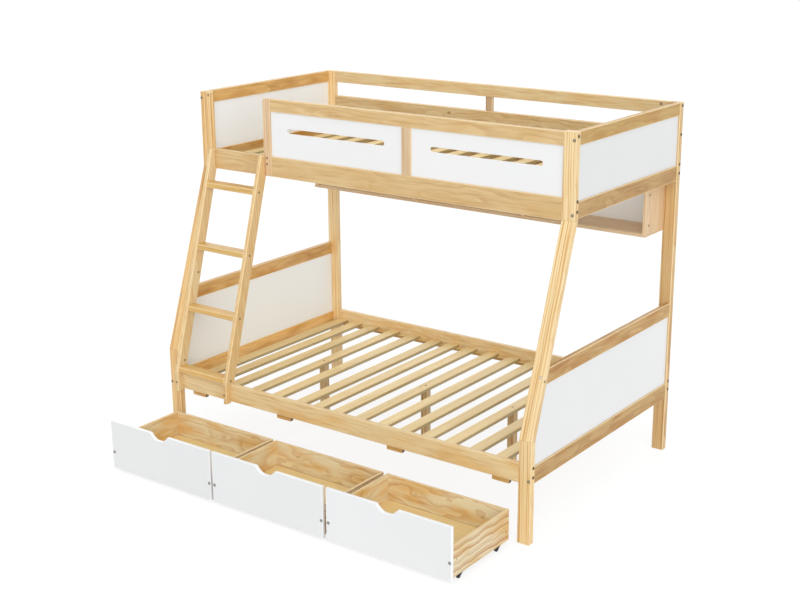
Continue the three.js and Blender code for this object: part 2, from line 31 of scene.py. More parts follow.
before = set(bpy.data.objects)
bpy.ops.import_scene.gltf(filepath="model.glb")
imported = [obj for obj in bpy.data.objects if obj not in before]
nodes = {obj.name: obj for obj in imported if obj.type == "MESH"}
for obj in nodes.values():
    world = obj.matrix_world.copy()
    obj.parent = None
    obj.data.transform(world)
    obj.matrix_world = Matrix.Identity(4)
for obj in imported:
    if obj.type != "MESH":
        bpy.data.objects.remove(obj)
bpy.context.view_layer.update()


def srgb(red, green, blue):
    """A colour written as 0 to 255 on screen, turned into the linear values that shaders use."""
    linear = []
    for level in (red, green, blue):
        share = level / 255
        linear.append(share / 12.92 if share <= 0.04045 else ((share + 0.055) / 1.055) ** 2.4)
    return (*linear, 1.0)


def grey(level):
    return (level, level, level, 1.0)


# The bed's corner, at the foot of the left front post, and the bed's length in millimetres
post_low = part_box("left_front_post")[0]
CORNER = Vector((post_low.x, post_low.y, 0.0))
LENGTH = (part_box("right_front_post")[1].x - CORNER.x) / MM


def bed(x, y, z):
    """A place counted in millimetres from the bed's corner."""
    return CORNER + Vector((x, y, z)) * MM


def new_object(name, data):
    made = bpy.data.objects.new(name, data)
    bpy.context.scene.collection.objects.link(made)
    return made


def new_piece(name, mesh, material):
    """Makes a piece of one material from a finished mesh."""
    data = bpy.data.meshes.new(name)
    mesh.to_mesh(data)
    mesh.free()
    data.materials.append(material)
    return new_object(name, data)


# Camera, as fitted to the photograph
IMAGE_WIDTH = 800
FOCAL_PIXELS = 1369.42
SENSOR_WIDTH = 36.0
NEAREST = 0.1
FARTHEST = 100.0
CAMERA_PLACE = (4609.2, -4373.2, 2566.0)
CAMERA_YAW = 0.63566
CAMERA_PITCH = 0.29160
CAMERA_ROLL = -0.00600


def make_camera():
    data = bpy.data.cameras.new("camera")
    data.sensor_width = SENSOR_WIDTH
    data.lens = SENSOR_WIDTH * FOCAL_PIXELS / IMAGE_WIDTH
    data.clip_start = NEAREST
    data.clip_end = FARTHEST
    camera = new_object("camera", data)
    ahead = Vector((
        -math.sin(CAMERA_YAW) * math.cos(CAMERA_PITCH),
        math.cos(CAMERA_YAW) * math.cos(CAMERA_PITCH),
        -math.sin(CAMERA_PITCH),
    ))
    level = ahead.cross(Vector((0, 0, 1))).normalized()
    upright = level.cross(ahead)
    right = math.cos(CAMERA_ROLL) * level + math.sin(CAMERA_ROLL) * upright
    up = right.cross(ahead)
    turn = Matrix((right, up, -ahead)).transposed().to_4x4()
    camera.matrix_world = Matrix.Translation(bed(*CAMERA_PLACE)) @ turn
    bpy.context.scene.camera = camera


# Light: a cool sky and a warm lamp, which add up to white on the faces that get both
SKY = (0.90, 0.97, 1.0, 1.0)
SKY_STRENGTH = 0.64
SUN_WIDTH = 60.0
PLAIN = (1.0, 1.0, 1.0)
WARM = (1.0, 0.982, 0.955)
# Each lamp's name, the direction from the bed to it, its strength and its colour
LAMPS = (
    ("overhead", (0.10, -0.35, 0.93), 0.60, PLAIN),
    ("front", (0.68, -0.66, 0.20), 1.74, WARM),
    ("back", (-0.55, 0.72, 0.42), 0.60, PLAIN),
)


def make_lights():
    for name, towards, strength, colour in LAMPS:
        data = bpy.data.lights.new(name, "SUN")
        data.energy = strength
        data.color = colour
        data.angle = math.radians(SUN_WIDTH)
        lamp = new_object(name, data)
        lamp.rotation_euler = Vector(towards).to_track_quat("Z", "Y").to_euler()


class Graph:
    """A shader's nodes, added one at a time and joined by their sockets."""

    def __init__(self, tree):
        self.tree = tree
        tree.nodes.clear()

    def node(self, kind, inputs=None, **settings):
        made = self.tree.nodes.new(kind)
        for key, value in settings.items():
            setattr(made, key, value)
        for key, value in (inputs or {}).items():
            if isinstance(value, bpy.types.NodeSocket):
                self.tree.links.new(value, made.inputs[key])
            else:
                made.inputs[key].default_value = value
        return made

    def place(self):
        """The place on the piece, in its own frame."""
        return self.node("ShaderNodeTexCoord").outputs["Object"]

    def math(self, operation, first, second=0.0, clamp=False):
        inputs = {0: first, 1: second}
        return self.node("ShaderNodeMath", inputs, operation=operation, use_clamp=clamp).outputs[0]

    def plus(self, first, second):
        return self.math("ADD", first, second)

    def minus(self, first, second):
        return self.math("SUBTRACT", first, second)

    def times(self, first, second):
        return self.math("MULTIPLY", first, second)

    def vector(self, x, y, z):
        return self.node("ShaderNodeCombineXYZ", {0: x, 1: y, 2: z}).outputs[0]

    def mix(self, factor, first, second):
        made = self.node("ShaderNodeMix", {0: factor, 6: first, 7: second}, data_type="RGBA")
        return made.outputs[2]

    def noise(self, vector, scale, detail, roughness=0.5):
        inputs = {"Vector": vector, "Scale": scale, "Detail": detail, "Roughness": roughness}
        return self.node("ShaderNodeTexNoise", inputs).outputs[0]

    def ramp(self, factor, stops):
        made = self.node("ShaderNodeValToRGB", {0: factor})
        elements = made.color_ramp.elements
        while len(elements) < len(stops):
            elements.new(0.5)
        for element, (position, level) in zip(elements, stops):
            element.position = position
            element.color = grey(level)
        return made.outputs[0]

    def range(self, value, low, high, to_low, to_high):
        inputs = {0: value, 1: low, 2: high, 3: to_low, 4: to_high}
        return self.node("ShaderNodeMapRange", inputs).outputs[0]

    def smooth(self, value, low, high):
        inputs = {0: value, 1: low, 2: high, 3: 0.0, 4: 1.0}
        return self.node("ShaderNodeMapRange", inputs, interpolation_type="SMOOTHSTEP").outputs[0]

    def line(self, value, level, fade):
        """A thin line where a value passes a level."""
        away = self.math("ABSOLUTE", self.minus(value, level))
        faded, full = (width * MM for width in fade)
        return self.smooth(away, faded, full)

    def surface(self, colour, roughness, height, distance, **sockets):
        """A Principled surface with a bump, joined to the output."""
        relief = {"Strength": 1.0, "Distance": distance, "Height": height}
        bump = self.node("ShaderNodeBump", relief)
        inputs = {"Base Color": colour, "Roughness": roughness, "Normal": bump.outputs[0]}
        inputs.update({key.replace("_", " "): value for key, value in sockets.items()})
        shader = self.node("ShaderNodeBsdfPrincipled", inputs)
        self.node("ShaderNodeOutputMaterial", {"Surface": shader.outputs[0]})


def new_material(name):
    material = bpy.data.materials.new(name)
    material.use_nodes = True
    return material, Graph(material.node_tree)


# Pine

# Tones of the timber: early wood, late wood, and the warm patches between them
TONES = {
    "straw": (srgb(244, 218, 168), srgb(202, 148, 80), srgb(238, 196, 130)),
    "honey": (srgb(236, 202, 146), srgb(190, 134, 68), srgb(224, 178, 112)),
    "sand": (srgb(230, 200, 162), srgb(186, 142, 98), srgb(222, 182, 136)),
    "gold": (srgb(228, 186, 110), srgb(188, 132, 54), srgb(216, 164, 80)),
    "amber": (srgb(224, 180, 112), srgb(164, 104, 34), srgb(202, 144, 64)),
    "resin": (srgb(244, 230, 194), srgb(198, 136, 68), srgb(236, 196, 126)),
    "khaki": (srgb(240, 214, 156), srgb(208, 168, 104), srgb(232, 200, 136)),
}
KNOT = srgb(132, 78, 36)
PORE = srgb(150, 104, 58)
SEAM = srgb(130, 88, 44)
# Painted shade in the gap where a drawer's floor meets its back
FLOOR_GAP_PAINTED_SHADE = srgb(150, 110, 62)
# Darkness across one ring: a sharp late-wood line that fades into the next ring's early wood
RING_PROFILE = [(0.0, 1.0), (0.12, 0.85), (0.45, 0.34), (0.80, 0.08), (0.94, 0.0), (1.0, 1.0)]
# For each way the grain can run: the axis along it, and the two across it
AXES = {"x": (0, 1, 2), "y": (1, 0, 2), "z": (2, 0, 1)}
# How far along the log a step of seed and a new length of timber move the grain, in metres
SEED_STEP = 1.7
LENGTH_STEP = 3.1
# How far the pith swings to the sides, in millimetres, and the log's taper
PITH_SWING = 46.0
TAPER = 0.012
# How far the grain draws a knot out, and how wide and high the rings swell, in the knot's sizes
KNOT_STRETCH = 0.62
SWELL_WIDTH = 2.6
SWELL_HEIGHT = 2.4
# Where a seam and the painted shade line at a floor's gap have faded out and where they are full,
# in millimetres from them
SEAM_FADE = (0.8, 0.2)
FLOOR_GAP_SHADE_FADE = (2.0, 0.4)

# How the fibres and the warm patches are stretched along and across the grain
FIBRE_STRETCH = (9.0, 520.0)
PATCH_STRETCH = (3.2, 11.0)
PORE_STRENGTH = 0.14
SEAM_STRENGTH = 0.6

# Front posts, in millimetres
POST_DEPTH = 32.0
BEND_ABOVE_RAIL = 102.0
UPPER_BEND_RISE = 4.0


def bend_facts():
    """The height where the front posts begin to lean, how far they lean, and over what height."""
    low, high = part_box("right_front_post")
    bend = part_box("lower_back_rail")[1].z + BEND_ABOVE_RAIL * MM
    upper_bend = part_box("upper_front_rail")[0].z + UPPER_BEND_RISE * MM
    return bend, high.y - low.y - POST_DEPTH * MM, upper_bend - bend


def bend_line(graph, axes):
    """Straightens a front post: takes the lean off Y, and numbers the three lengths of timber."""
    bend, lean, height = bend_facts()
    bends = (bend, bend + height)
    y = graph.minus(axes[1], CORNER.y)
    share = graph.range(axes[2], *bends, 0.0, 1.0)
    straight = graph.minus(y, graph.times(share, lean))
    half_turn = math.tan(math.atan2(lean, height) / 2)
    place = graph.plus(axes[2], graph.times(straight, half_turn))
    length = graph.plus(*(graph.math("GREATER_THAN", place, level) for level in bends))
    seams = []
    for level in bends:
        seams.append(graph.line(place, level, SEAM_FADE))
    return straight, length, graph.math("MAXIMUM", *seams)


@dataclass
class Board:
    """How one board was cut and what it shows. Ring, pith and knots are in millimetres. Lines,
    streaks, patches and the knots' core are strengths from 0 to 1. Drift and fleck say how the
    noise is stretched along and across the grain. The floor gap's shade line is the height of a
    floor that meets the board, in metres, where a thin dark line of painted shade is drawn."""

    grain: str
    tone: str = "straw"
    shade: float = 1.0
    ring: float = 9.0
    pith: tuple = (14.0, 60.0)
    wave: float = 0.5
    lines: float = 0.5
    streaks: float = 0.35
    patches: float = 0.5
    knots: tuple = ()
    core: float = 0.7
    drift: tuple = (2.4, 7.0)
    fleck: tuple = (1.6, 120.0)
    bent: bool = False
    floor_gap_shade_line: float = 0.0


def shaded(colour, shade):
    return (*(channel * shade for channel in colour[:3]), 1.0)


def pith_distance(graph, board, side, rise, drift):
    """How far a place is from the pith, which wanders along the log."""
    swing = PITH_SWING * MM * board.wave
    cloud_a = graph.noise(drift, scale=1.3, detail=2.0)
    cloud_b = graph.noise(drift, scale=2.1, detail=3.0)
    wander_a = graph.times(graph.minus(cloud_a, 0.5), swing)
    wander_b = graph.times(graph.minus(cloud_b, 0.5), swing * 0.7)
    from_pith_a = graph.plus(graph.plus(side, board.pith[1] * MM), wander_a)
    from_pith_b = graph.plus(graph.plus(rise, board.pith[0] * MM), wander_b)
    squares = [graph.math("POWER", away, 2.0) for away in (from_pith_a, from_pith_b)]
    return graph.math("SQRT", graph.plus(*squares))


def round_knots(graph, knots, centred, radius):
    """Swells the rings round each knot. Gives the new radius, and a mask of the knots."""
    run, side, rise = centred
    mask = None
    for along, across, up, size in knots:
        spread = graph.vector(
            graph.times(graph.minus(run, along * MM), KNOT_STRETCH),
            graph.minus(side, across * MM),
            graph.minus(rise, up * MM),
        )
        away = graph.node("ShaderNodeVectorMath", {0: spread}, operation="LENGTH").outputs["Value"]
        near = graph.math("DIVIDE", away, size * SWELL_WIDTH * MM)
        swell = graph.math("EXPONENT", graph.times(graph.math("POWER", near, 2.0), -1.0))
        radius = graph.plus(radius, graph.times(swell, size * SWELL_HEIGHT * MM))
        core = graph.smooth(away, size * 1.1 * MM, size * 0.5 * MM)
        mask = core if mask is None else graph.math("MAXIMUM", mask, core)
    return radius, mask


def ring_lines(graph, board, radius, far):
    """The late-wood lines, of uneven width and strength."""
    count = graph.math("DIVIDE", radius, board.ring * MM)
    uneven = graph.noise(graph.vector(0.0, 0.0, count), scale=0.55, detail=2.0)
    count = graph.plus(count, graph.times(uneven, 1.3))
    rings = graph.ramp(graph.math("FRACT", count), RING_PROFILE)
    by_ring = graph.vector(graph.times(far, 1.6), 0.0, count)
    strength = graph.noise(by_ring, scale=0.9, detail=1.0)
    return graph.times(rings, graph.range(strength, 0.3, 0.7, 0.35, 1.0))


def pine(name, seed, board, middle=(0.0, 0.0, 0.0)):
    """Pine cut from a log whose pith runs at a distance from the board, so that its faces show
    straight or arched grain."""
    material, graph = new_material(name)
    place = graph.place()
    axes = list(graph.node("ShaderNodeSeparateXYZ", {0: place}).outputs)
    seam = None
    shift = seed * SEED_STEP
    if board.bent:
        axes[1], length, seam = bend_line(graph, axes)
        shift = graph.plus(graph.times(length, LENGTH_STEP), shift)
    centred = [graph.minus(axis, offset) for axis, offset in zip(axes, middle)]
    run, side, rise = (centred[index] for index in AXES[board.grain])
    far = graph.plus(run, shift)

    def stretched(along, across):
        """The board's own place, stretched along and across the grain."""
        return graph.vector(
            graph.times(far, along), graph.times(side, across), graph.times(rise, across))

    radius = pith_distance(graph, board, side, rise, stretched(*board.drift))
    radius = graph.plus(radius, graph.times(far, TAPER))
    radius, knot_mask = round_knots(graph, board.knots, (run, side, rise), radius)
    rings = ring_lines(graph, board, radius, far)
    fibres = graph.noise(stretched(*FIBRE_STRETCH), scale=1.0, detail=3.0, roughness=0.6)
    flecks = graph.noise(stretched(*board.fleck), scale=1.0, detail=2.0, roughness=0.55)
    streaks = graph.smooth(flecks, 0.46, 0.72)
    clouds = graph.noise(stretched(*PATCH_STRETCH), scale=1.6, detail=2.0)
    patches = graph.smooth(clouds, 0.40, 0.68)

    early, late, warm = (shaded(colour, board.shade) for colour in TONES[board.tone])
    colour = graph.mix(graph.times(patches, board.patches), early, warm)
    tinted = graph.times(rings, board.lines)
    streaky = graph.times(streaks, board.streaks)
    colour = graph.mix(graph.math("ADD", tinted, streaky, clamp=True), colour, late)
    pores = graph.smooth(fibres, 0.55, 0.8)
    colour = graph.mix(graph.times(pores, PORE_STRENGTH), colour, PORE)
    if knot_mask is not None:
        colour = graph.mix(graph.times(knot_mask, board.core), colour, KNOT)
    if seam is not None:
        colour = graph.mix(graph.times(seam, SEAM_STRENGTH), colour, SEAM)
    # A thin dark line of painted shade where the floor meets the board
    if board.floor_gap_shade_line:
        line = graph.line(axes[2], board.floor_gap_shade_line, FLOOR_GAP_SHADE_FADE)
        colour = graph.mix(line, colour, FLOOR_GAP_PAINTED_SHADE)

    relief = graph.plus(graph.times(fibres, 0.6), graph.times(rings, -0.35))
    roughness = graph.range(graph.plus(rings, fibres), 0.2, 1.6, 0.42, 0.56)
    graph.surface(colour, roughness, relief, 0.12 * MM, Coat_Weight=0.12, Coat_Roughness=0.3)
    return material


def mottled(name, colours, cloud_scale, grit_scale, roughness):
    """Two mingled colours, with a fine grit in the gloss and in the relief."""
    material, graph = new_material(name)
    place = graph.place()
    cloud = graph.noise(place, cloud_scale, detail=3.0)
    grit = graph.noise(place, grit_scale, detail=2.0)
    colour = graph.mix(cloud, *colours)
    graph.surface(colour, graph.range(grit, 0.3, 0.7, *roughness), grit, 0.03 * MM)
    return material


# Painted highlight on the softened edges: the pine is painted paler there, where light catches the
# rounded edges
def pine_painted_edge_highlight():
    colours = (srgb(244, 220, 178), srgb(228, 194, 142))
    return mottled("pine_painted_edge_highlight", colours, cloud_scale=40.0, grit_scale=900.0, roughness=(0.45, 0.6))


# Moulded black plastic of the casters
def caster_plastic():
    colours = (srgb(38, 37, 38), srgb(62, 60, 60))
    return mottled("caster_plastic", colours, cloud_scale=90.0, grit_scale=1500.0,
                   roughness=(0.42, 0.6))


# White lacquer on board, with the faint unevenness of a sprayed face
def white_board(name, seed, levels):
    material, graph = new_material(name)
    place = graph.place()
    offset = (seed, seed * 0.7, seed * 1.9)
    moved = graph.node("ShaderNodeVectorMath", {0: place, 1: offset}, operation="ADD").outputs[0]
    cloud = graph.noise(moved, scale=2.5, detail=3.0)
    peel = graph.noise(moved, scale=420.0, detail=2.0)
    white = srgb(*levels)
    colour = graph.mix(cloud, white, shaded(white, 0.965))
    roughness = graph.range(cloud, 0.3, 0.7, 0.32, 0.42)
    graph.surface(colour, roughness, peel, 0.03 * MM, Specular_IOR_Level=0.4)
    return material


# Steel of the bolt heads, with turning marks
def bolt_steel(name, bright, dull):
    material, graph = new_material(name)
    place = graph.place()
    grime = graph.noise(place, scale=260.0, detail=3.0)
    scratch = graph.noise(place, scale=2400.0, detail=2.0)
    colour = graph.mix(graph.smooth(grime, 0.4, 0.7), bright, dull)
    roughness = graph.range(scratch, 0.3, 0.7, 0.32, 0.5)
    graph.surface(colour, roughness, scratch, 0.01 * MM, Metallic=0.9)
    return material


# Brown-grey plastic caps and screw heads set below the face
def screw_dark():
    material, graph = new_material("screw_dark")
    place = graph.place()
    grime = graph.noise(place, scale=500.0, detail=3.0)
    colour = graph.mix(grime, srgb(112, 98, 80), srgb(78, 66, 54))
    roughness = graph.range(grime, 0.3, 0.7, 0.35, 0.55)
    graph.surface(colour, roughness, grime, 0.02 * MM, Metallic=0.6)
    return material


# Soft edges on the frame's own pieces, in millimetres and degrees
EDGE_WIDTH = 0.7
BOARD_EDGE_WIDTH = 1.3
SLAT_EDGE_WIDTH = 0.4
WELD_DISTANCE = 0.01
SHARP_ANGLE = 28
EDGE_SEGMENTS = 2
NO_EDGE_SLOT = -1


def soften(piece, width, edge_slot):
    weld = piece.modifiers.new("weld", "WELD")
    weld.merge_threshold = WELD_DISTANCE * MM
    bevel = piece.modifiers.new("bevel", "BEVEL")
    bevel.width = width * MM
    bevel.segments = EDGE_SEGMENTS
    bevel.limit_method = "ANGLE"
    bevel.angle_limit = math.radians(SHARP_ANGLE)
    bevel.material = edge_slot


def dress(node, *materials, rule=None, width=EDGE_WIDTH, edge=None):
    """Gives a node its materials. A rule takes a face and returns its material's number, and the
    edge's material, a paler painted highlight, goes on the softened edges."""
    piece = nodes[node]
    piece.data.materials.clear()
    for material in materials:
        piece.data.materials.append(material)
    if rule:
        for face in piece.data.polygons:
            face.material_index = rule(face)
    if edge:
        piece.data.materials.append(edge)
    soften(piece, width, len(materials) if edge else NO_EDGE_SLOT)


def centre_of(node):
    low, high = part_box(node)
    return tuple((low + high) / 2)


def post(shade, tone="straw", lines=0.75, **facts):
    return Board("z", tone, shade, lines=lines, streaks=0.75, **facts)


def rail(grain, shade, tone="honey", ring=12.0, wave=1.2, lines=0.4, streaks=0.36, **facts):
    return Board(grain, tone, shade, ring=ring, pith=(18.0, 50.0), wave=wave, lines=lines,
                 streaks=streaks, fleck=(7.0, 150.0), **facts)


# How each board of the frame is cut
BOARDS = {
    "left_back_post": post(1.08, pith=(12.0, 60.0), lines=0.5),
    "right_back_post": post(0.88, "honey", pith=(14.0, 55.0), lines=0.9),
    "left_upper_end_top_rail": rail("y", 1.03, "amber", patches=0.7, streaks=0.2),
    "left_upper_end_bottom_rail": rail("y", 0.95, "amber", patches=1.0),
    "left_lower_end_top_rail": rail("y", 1.04, "amber", patches=0.9),
    "left_lower_end_bottom_rail": rail("y", 1.28, "amber", patches=0.8),
    "right_upper_end_top_rail": rail("y", 0.73, "gold", patches=0.9, streaks=0.2),
    "right_upper_end_bottom_rail": rail("y", 0.73, "amber"),
    "right_lower_end_top_rail": rail("y", 0.80, "amber", patches=0.9),
    "right_lower_end_bottom_rail": rail("y", 0.76, "amber", patches=0.9),
    "lower_back_rail": rail("x", 1.0, "straw", ring=16.0, wave=2.0, patches=0.8,
                            knots=((380.0, -8.0, 12.0, 9.0),)),
    "upper_back_rail": rail("x", 0.9, "honey"),
    "upper_front_rail": rail("x", 0.85, "honey", ring=16.0, wave=1.6, streaks=0.28),
    "guard_end_upright": post(1.02, "sand", lines=0.6),
    "guard_middle_upright": post(0.90, "sand", lines=0.5),
    "guard_top_rail": rail("x", 0.87, "honey", streaks=0.28),
    "wall_guard_top_rail": rail("x", 0.85, "straw", lines=0.2, streaks=0.4),
    "wall_guard_lower_rail": rail("x", 0.77, "straw", ring=16.0, wave=2.2, lines=0.6,
                                  knots=((-230.0, -8.0, 10.0, 9.0),)),
    "wall_guard_upright": post(0.78, "sand"),
    "ladder_left_stile": rail("z", 0.89, "straw", streaks=0.2),
    "ladder_right_stile": rail("z", 0.94, "honey", streaks=0.2),
    "ladder_rung_1": rail("x", 0.92, "gold", ring=8.0, wave=0.6, lines=0.35),
    "ladder_rung_2": rail("x", 0.90, "gold", ring=8.0, wave=0.6, lines=0.35),
    "ladder_rung_3": rail("x", 0.94, "gold", ring=8.0, wave=0.6, lines=0.4),
    "ladder_rung_4": rail("x", 0.98, "gold", ring=8.0, wave=0.6, lines=0.4),
}
# Each front post: its seed, shade and tone
FRONT_POSTS = {"left_front_post": (31, 1.06, "honey"), "right_front_post": (34, 1.02, "straw")}

# How squarely a face looks one way, to count as facing it or only as turned towards it
FACING = 0.7
TURNED = 0.3
# Room left when a face's place is compared with a size of the frame
SLACK = 0.5 * MM
FORK_SLACK = 0.1 * MM
# Thicknesses of the frame's timber, in millimetres, by which its faces are told apart
SLAT_THICKNESS = 17.0
LEDGER_HEIGHT = 16.0
LEDGER_WIDTH = 18.0
SHELF_THICKNESS = 15.0
DRAWER_WALL = 12.0


def dress_boards(edge):
    for seed, (node, board) in enumerate(BOARDS.items(), start=1):
        material = pine(f"pine_{node}", seed, board, centre_of(node))
        dress(node, material, width=BOARD_EDGE_WIDTH, edge=edge)


def dress_front_posts(edge):
    for node, (seed, shade, tone) in FRONT_POSTS.items():
        low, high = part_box(node)
        middle = ((low.x + high.x) / 2, POST_DEPTH / 2 * MM, 0.0)
        board = post(shade, tone, pith=(16.0, 70.0), ring=11.0, bent=True)
        material = pine(f"pine_{node}", seed, board, middle)
        dress(node, material, width=BOARD_EDGE_WIDTH, edge=edge)


def dress_lower_front_rail(edge):
    """The rail; the stop blocks under it, in a darker amber as painted shade from the rail; and
    the blocks' right ends, painted dark as painted shade.
    """
    node = "lower_front_rail"
    rail_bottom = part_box("lower_back_rail")[0].z
    middle = centre_of(node)
    board = rail("x", 0.91, "straw", ring=16.0, wave=1.6, lines=0.3, streaks=0.3, patches=0.9)
    face = pine("pine_lower_front_rail", 41, board, middle)
    # The blocks' darker amber is painted shade from the rail above them
    blocks = pine("pine_stop_blocks_painted_shade", 42, rail("x", 0.95, "amber"), middle)
    # Their right ends are painted dark brown as painted shade
    ends = pine("pine_stop_block_painted_shade_ends", 43, rail("x", 0.25, "amber"), middle)

    def rule(side):
        if side.center.z > rail_bottom - SLACK:
            return 0
        return 2 if side.normal.x > FACING else 1

    dress(node, face, blocks, ends, rule=rule, edge=edge)


# Shades that the slats' tops take by turns, and the slats' spacing in millimetres
SLAT_SHADES = (1.01, 1.05, 0.97, 1.07, 1.00)
SLAT_PITCH = 127.3


def slat(shade, **facts):
    return Board("y", "khaki", shade, ring=14.0, pith=(20.0, 30.0), wave=0.9, lines=0.35, **facts)


def deck_rule(deck, slats):
    """Tells a deck's faces apart: the slats' tops by turns, then their sides in painted shade,
    ledgers and legs.
    """
    low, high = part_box(deck)
    slat_bottom = high.z - SLAT_THICKNESS * MM - SLACK
    ledger_bottom = slat_bottom - LEDGER_HEIGHT * MM
    ledger = LEDGER_WIDTH * MM + SLACK

    def rule(side):
        centre = side.center
        inside = low.y + ledger < centre.y < high.y - ledger
        if centre.z < ledger_bottom or (centre.z < slat_bottom and inside):
            return slats + 2
        if centre.z < slat_bottom:
            return slats + 1
        if side.normal.z < FACING:
            return slats
        return int((centre.x - low.x) / (SLAT_PITCH * MM)) % slats

    return rule


def dress_decks():
    slats = []
    for number, shade in enumerate(SLAT_SHADES):
        slats.append(pine(f"pine_slat_{number + 1}", 50 + number, slat(shade, streaks=0.3)))
    # The slats' sides are painted darker than their tops, as painted shade
    painted_shade_sides = pine("pine_slat_painted_shade_sides", 57, slat(0.58))
    for deck, seed in (("lower_slat_deck", 61), ("upper_slat_deck", 64)):
        ledger = pine(f"pine_{deck}_ledger", seed, rail("x", 0.85, "amber"))
        leg = pine(f"pine_{deck}_leg", seed + 1, post(0.80, "straw"))
        rule = deck_rule(deck, len(slats))
        dress(deck, *slats, painted_shade_sides, ledger, leg, rule=rule, width=SLAT_EDGE_WIDTH)


def dress_shelf(edge):
    board_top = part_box("shelf_boards")[0].z + SHELF_THICKNESS * MM + SLACK
    board = pine("pine_shelf_bottom", 71, rail("x", 0.92, "sand", lines=0.3))
    walls = pine("pine_shelf_walls", 72, rail("z", 1.0, "sand", lines=0.3))

    def rule(side):
        return 1 if side.center.z > board_top else 0

    dress("shelf_boards", board, walls, rule=rule, edge=edge)


# How pale each white panel is painted, from 0 to 255, and the panels whose white is cool. All are
# one white: a panel in shade is set paler and a strongly lit one darker, as painted light, and the
# cool tint is painted against the warm light that the pine round them throws
PANELS = {
    "left_upper_end_panel": 251, "left_lower_end_panel": 254, "right_upper_end_panel": 226,
    "right_lower_end_panel": 233, "guard_left_panel": 236, "guard_right_panel": 237,
    "shelf_back": 254,
}
PANELS_WITH_PAINTED_COOL_LIGHT = ("left_upper_end_panel", "left_lower_end_panel", "shelf_back")


# A white with a warm tint painted in, as painted light against the cool sky
def white_with_painted_warm_light(level):
    return (level + 2, level, level)


# A white with a cool tint painted in, as painted light against the warm light from the pine
def white_with_painted_cool_light(level):
    return (level - 2, level, 255)


def dress_panels():
    for seed, (node, level) in enumerate(PANELS.items(), start=1):
        white = white_with_painted_cool_light(level) if node in PANELS_WITH_PAINTED_COOL_LIGHT else white_with_painted_warm_light(level)
        dress(node, white_board(f"white_{node}", seed, white))


# Faint knots in the drawers' back boards: along, across and up from the middle, and size
BACK_KNOTS = {
    1: ((-40.0, -8.0, 6.0, 8.0),),
    2: ((-170.0, -8.0, 22.0, 9.0), (60.0, -8.0, -12.0, 6.0)),
    3: ((-150.0, -8.0, 14.0, 9.0), (-40.0, -8.0, 2.0, 6.0), (190.0, -8.0, 2.0, 11.0)),
}
BACK_KNOT_CORE = 0.22
# How pale the drawers' fronts are painted, from 0 to 255: the same white, darker towards the left
# as painted shade; and the paler painted highlight on their upper edges
FRONT_LEVELS = {1: 226, 2: 229, 3: 232}
FRONT_PAINTED_HIGHLIGHT = (250, 250, 250)


# Faces that look up take the painted highlight
def highlight_rule(side):
    return 1 if side.normal.z > TURNED else 0


def last_highlight_rule(side):
    """The last drawer also has the painted highlight on its front's right end, where light falls.
    """
    return 1 if side.normal.z > TURNED or side.normal.x > FACING else 0


def dress_drawer_box(number, edge):
    node = f"drawer_{number}_box"
    low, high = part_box(node)
    middle = (low + high) / 2
    floor_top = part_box(f"drawer_{number}_bottom")[1].z
    left_board = Board("y", "resin", 0.98, ring=26.0, pith=(8.0, 60.0), wave=2.0, lines=0.4,
                       streaks=0.25, patches=0.9, drift=(3.6, 8.0))
    right_board = Board("y", "resin", 0.90, ring=32.0, pith=(84.0, 6.0), wave=1.0, lines=1.0,
                        streaks=0.4, patches=0.8, drift=(4.6, 2.0))
    back_board = Board("x", "resin", 1.0, ring=22.0, pith=(4.0, 66.0), wave=2.0, lines=0.6,
                       streaks=0.25, patches=0.8, knots=BACK_KNOTS[number],
                       core=BACK_KNOT_CORE, drift=(3.6, 8.0), floor_gap_shade_line=floor_top)
    name = f"pine_drawer_{number}"
    left = pine(f"{name}_left", 80 + number, left_board, (low.x, middle.y, middle.z))
    right = pine(f"{name}_right", 76 + number, right_board, (high.x, middle.y, middle.z))
    back = pine(f"{name}_back", 84 + number, back_board, (middle.x, high.y, middle.z))
    wall = DRAWER_WALL * MM + SLACK

    def rule(side):
        # Faces that look up, the walls' tops, take the paler edge material as a painted highlight
        if side.normal.z > FACING:
            return 3
        if side.center.x < low.x + wall:
            return 0
        return 1 if side.center.x > high.x - wall else 2

    dress(node, left, right, back, edge, rule=rule, edge=edge)


def dress_drawer_bottom(number, black):
    """The floor in pine, and the forks under it in black plastic."""
    low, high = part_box(f"drawer_{number}_box")
    board = Board("x", "khaki", 0.98, ring=26.0, pith=(60.0, 30.0), wave=1.6, lines=0.2,
                  streaks=0.2)
    floor = pine(f"pine_drawer_{number}_floor", 90 + number, board, tuple((low + high) / 2))

    def rule(side):
        return 1 if side.center.z < low.z - FORK_SLACK else 0

    dress(f"drawer_{number}_bottom", floor, black, rule=rule)


def dress_drawers(edge):
    black = caster_plastic()
    white_painted_highlight = white_board("white_drawer_painted_highlight", 19, FRONT_PAINTED_HIGHLIGHT)
    last = max(FRONT_LEVELS)
    for number, level in FRONT_LEVELS.items():
        dress_drawer_box(number, edge)
        dress_drawer_bottom(number, black)
        face = white_board(f"white_drawer_{number}_front", 20 + number, white_with_painted_warm_light(level))
        rule = last_highlight_rule if number == last else highlight_rule
        dress(f"drawer_{number}_front", face, white_painted_highlight, edge=white_painted_highlight, rule=rule)
        for place in ("front_left", "front_right", "back_left", "back_right"):
            dress(f"drawer_{number}_wheel_{place}", black)


# Fasteners: radius, and how far they stand proud of the timber, in millimetres
BOLT = (6.6, 1.6)
CAP = (5.4, 0.6)
MARK = (3.0, 0.3)
HEAD_SIDES = 24
HEAD_DEPTH = 1.0
SOCKET_DEPTH = 0.8
# The socket's share of the radius, the rounded rim's share of the height, and the rim's slope
SOCKET_SHARE = 0.46
RIM_SHARE = 0.4
RIM_SLOPE = 0.3
SOCKET_CHAMFER = 1.12


